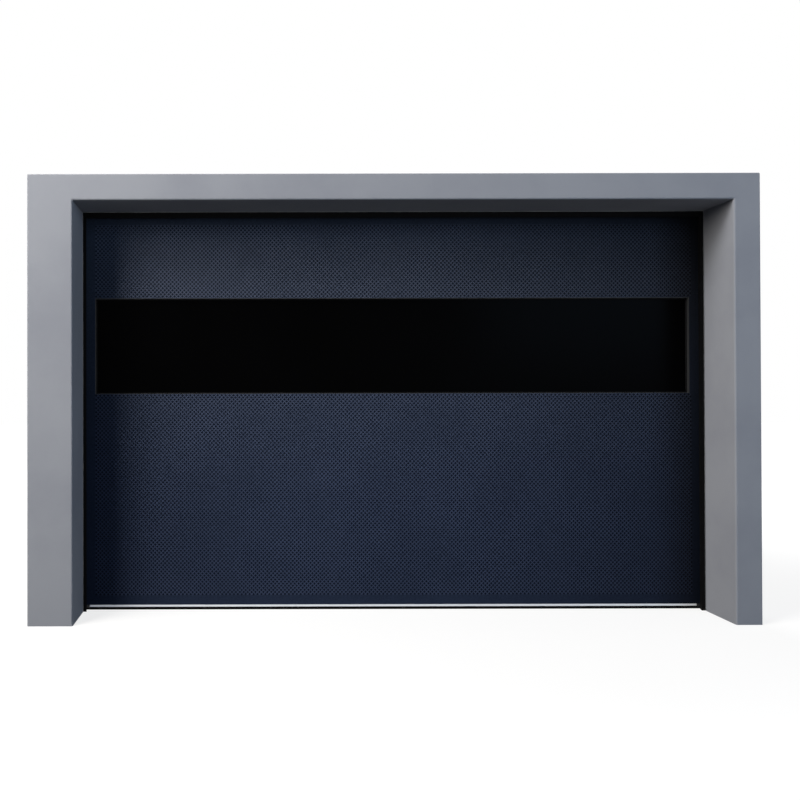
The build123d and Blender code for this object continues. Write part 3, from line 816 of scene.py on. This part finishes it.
# Close-wound extension springs with their hooks
coil = {
    "radius": 0.0172, "wire": 0.0026, "pitch": 0.0064, "around": 14, "sides": 7, "ends": 0.045,
    "riseFrom": 0.004, "rise": 0.012, "loop": 0.013, "loopAt": 0.029, "loopSteps": 14, "hookSides": 8,
}
springLow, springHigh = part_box("springs")
springY = (springLow[1] + springHigh[1]) / 2
springX = springHigh[0] - (springHigh[1] - springLow[1]) / 2
springBody = (springLow[2] + coil["ends"], springHigh[2] - coil["ends"])


def tube(mesh, path, radius, sides):    # a round wire swept along points
    rings = []
    for place, point in enumerate(path):
        ahead = (path[min(place + 1, len(path) - 1)] - path[max(place - 1, 0)]).normalized()
        across = ahead.cross(Vector((0.31, 0.17, 0.93)))    # any way that no stretch runs along
        across.normalize()
        other = ahead.cross(across)
        rings.append([
            mesh.verts.new(point + (across * math.cos(turn) + other * math.sin(turn)) * radius)
            for turn in (2 * math.pi * side / sides for side in range(sides))
        ])
    skinLoops(mesh, zip(rings, rings[1:]))
    mesh.faces.new(rings[0][::-1])
    mesh.faces.new(rings[-1])


def hook(centre, start, direction):     # from the coil's rim into a loop on the axis
    rise = []
    for part in (0.0, 0.5, 1.0):
        level = start + direction * (coil["riseFrom"] + coil["rise"] * part)
        rise.append(centre + Vector((coil["radius"] * (1 - part), 0, level)))
    middle, loop = start + direction * coil["loopAt"], coil["loop"]
    turn = []
    for part in range(coil["loopSteps"]):
        lean = 2 * math.pi * part / coil["loopSteps"]
        spot = (0, loop * math.sin(lean), middle - direction * loop * math.cos(lean))
        turn.append(centre + Vector(spot))
    return rise + turn


mesh = bmesh.new()
bodyLength = springBody[1] - springBody[0]
turns = bodyLength / coil["pitch"]
steps = int(turns * coil["around"])
for centre in bothSides((springX, springY, 0)):
    path = []
    for step in range(steps + 1):
        turn = 2 * math.pi * turns * step / steps
        level = springBody[0] + bodyLength * step / steps
        spot = (coil["radius"] * math.cos(turn), coil["radius"] * math.sin(turn), level)
        path.append(centre + Vector(spot))
    tube(mesh, path, coil["wire"], coil["sides"])
    for start, direction in ((springBody[0], -1), (springBody[1], 1)):
        tube(mesh, hook(centre, start, direction), coil["wire"], coil["hookSides"])
evenNormals(mesh)
coils = addPiece("spring_coils", mesh, springSteel, smooth=True)
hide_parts("springs")
print("springs", len(coils.data.polygons), "faces")


# Hubs and rims on the rollers
rollerTrim = {                          # rings of radius and height off the roller's face
    "hub": ((0.0085, 0), (0.0085, 0.001), (0.0065, 0.0022), (0, 0.0022)), "hubSides": 18,
    "rim": ((0.0185, 0), (0.0185, 0.0006), (0.015, 0.0006), (0.015, 0)), "rimSides": 28,
}
mesh = bmesh.new()
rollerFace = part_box("rollers")[1][0]
for level in [fixings["footRoller"]] + joints + [fixings["headRoller"]]:
    for spot, way in pairOutward((rollerFace, rollerLine, level)):
        lathe(mesh, rollerTrim["hub"], spot, way, rollerTrim["hubSides"])
        lathe(mesh, rollerTrim["rim"], spot, way, rollerTrim["rimSides"], False)
evenNormals(mesh)
addPiece("roller_hubs", mesh, boltZinc)
print("roller hubs")


# Floor and world: white to the eye, much darker for the light they give
floor = {
    "half": 30, "bounce": (0.05, 0.05, 0.05), "shown": (0.24, 0.24, 0.24),
    "near": 0.8, "gain": 0.22, "fade": (2.4, 6.0),
}
white = (1.0, 1.0, 1.0, 1.0)


def seenDirectly(tree):                 # 1 for what the eye, a reflection or glass shows, 0 for light
    path = addNode(tree, "ShaderNodeLightPath")
    camera, glossy, through = (
        Wire(tree, path.outputs[name])
        for name in ("Is Camera Ray", "Is Glossy Ray", "Is Transmission Ray")
    )
    return camera.most(glossy).most(through)


def floorFinish():
    finish = Finish("studio floor")
    seen = seenDirectly(finish.tree)
    reach = finish.wire("ShaderNodeVectorMath", {"operation": "LENGTH"}, {0: finish.place()}, "Value")
    strength = seen * (floor["near"] + reach.smooth(*floor["fade"]) * floor["gain"])
    glow = finish.wire("ShaderNodeEmission", None, {"Color": white, "Strength": strength})
    bounce = finish.mixed(floor["bounce"], floor["shown"], seen)
    ground = finish.wire("ShaderNodeBsdfDiffuse", None, {"Color": bounce})
    return finish.closed(finish.wire("ShaderNodeAddShader", None, {0: glow, 1: ground}))


def stageFloor():
    data = bpy.data.meshes.new("studio_floor")
    half = floor["half"]
    corners = [(-half, -half, 0), (half, -half, 0), (half, half, 0), (-half, half, 0)]
    data.from_pydata(corners, [], [(0, 1, 2, 3)])
    data.materials.append(floorFinish())
    piece = bpy.data.objects.new("studio_floor", data)
    bpy.context.scene.collection.objects.link(piece)


stageFloor()

world = bpy.data.worlds.new("studio")
world.use_nodes = True
bpy.context.scene.world = world
sky = world.node_tree
sky.nodes.clear()
skyStrength = 0.01 + seenDirectly(sky) * 0.99
glow = addNode(sky, "ShaderNodeBackground", None, {"Color": white, "Strength": skyStrength})
addNode(sky, "ShaderNodeOutputWorld", None, {"Surface": Wire(sky, glow.outputs[0])})


# Lamps
lamps = {
    "key": {
        "at": (-5.2, -5.8, 4.0), "to": (-0.2, -1.2, 1.2), "size": (2.6, 2.6),
        "power": 205.0, "tint": (1.0, 0.94, 0.86),
    },
    "overhead": {
        "at": (-5.5, -4.8, 7.0), "to": (0.0, -1.3, 1.2), "size": (4.5, 3.0),
        "power": 690.0, "tint": (1.0, 0.98, 0.95),
    },
    "front_fill": {
        "at": (4.2, -7.5, 2.8), "to": (-1.4, -1.2, 1.1), "size": (4.0, 2.4),
        "power": 108.0, "tint": (0.46, 0.7, 1.0),
    },
    "side_fill": {
        "at": (7.5, -4.2, 2.4), "to": (0.6, -1.2, 1.2), "size": (2.6, 2.2),
        "power": 48.0, "tint": (1.0, 0.98, 0.96),
    },
    "side_back": {
        "at": (8.5, 0.2, 2.6), "to": (1.9, -0.8, 1.2), "size": (6.0, 4.0),
        "power": 105.0, "tint": (1.0, 0.99, 0.98),
    },
    "back_fill": {
        "at": (0.0, 7.5, 4.2), "to": (0.0, 0.5, 1.2), "size": (5.0, 4.0),
        "power": 650.0, "tint": (1.0, 1.0, 1.0),
    },
}
for name, lamp in lamps.items():
    light = bpy.data.lights.new(name, "AREA")
    light.shape = "RECTANGLE"
    light.size, light.size_y = lamp["size"]
    light.energy = lamp["power"]
    light.color = lamp["tint"]
    holder = bpy.data.objects.new(name, light)
    holder.location = lamp["at"]
    aim = Vector(lamp["to"]) - Vector(lamp["at"])
    holder.rotation_euler = aim.to_track_quat("-Z", "Y").to_euler()
    bpy.context.scene.collection.objects.link(holder)


# Camera: lengths in metres, focal length and optical centre in pixels, small turns in radians
view = {
    "at": (-0.799, -5.985, 1.2156), "focal": 849.17, "centre": (243.0, 389.74), "pixels": 800,
    "sensor": 36.0, "tip": 0.00673, "roll": 0.00207,
}
camera = bpy.data.cameras.new("photo_view")
camera.sensor_width = view["sensor"]
camera.lens = view["focal"] / view["pixels"] * view["sensor"]
camera.shift_x = (view["pixels"] / 2 - view["centre"][0]) / view["pixels"]
camera.shift_y = (view["centre"][1] - view["pixels"] / 2) / view["pixels"]
camera.clip_end = 200.0
eye = bpy.data.objects.new("photo_view", camera)
eye.location = view["at"]
eye.rotation_euler = (math.pi / 2 + view["tip"], view["roll"], 0.0)
bpy.context.scene.collection.objects.link(eye)
bpy.context.scene.camera = eye
bpy.context.scene.view_settings.view_transform = "Standard"
print("stage ready")
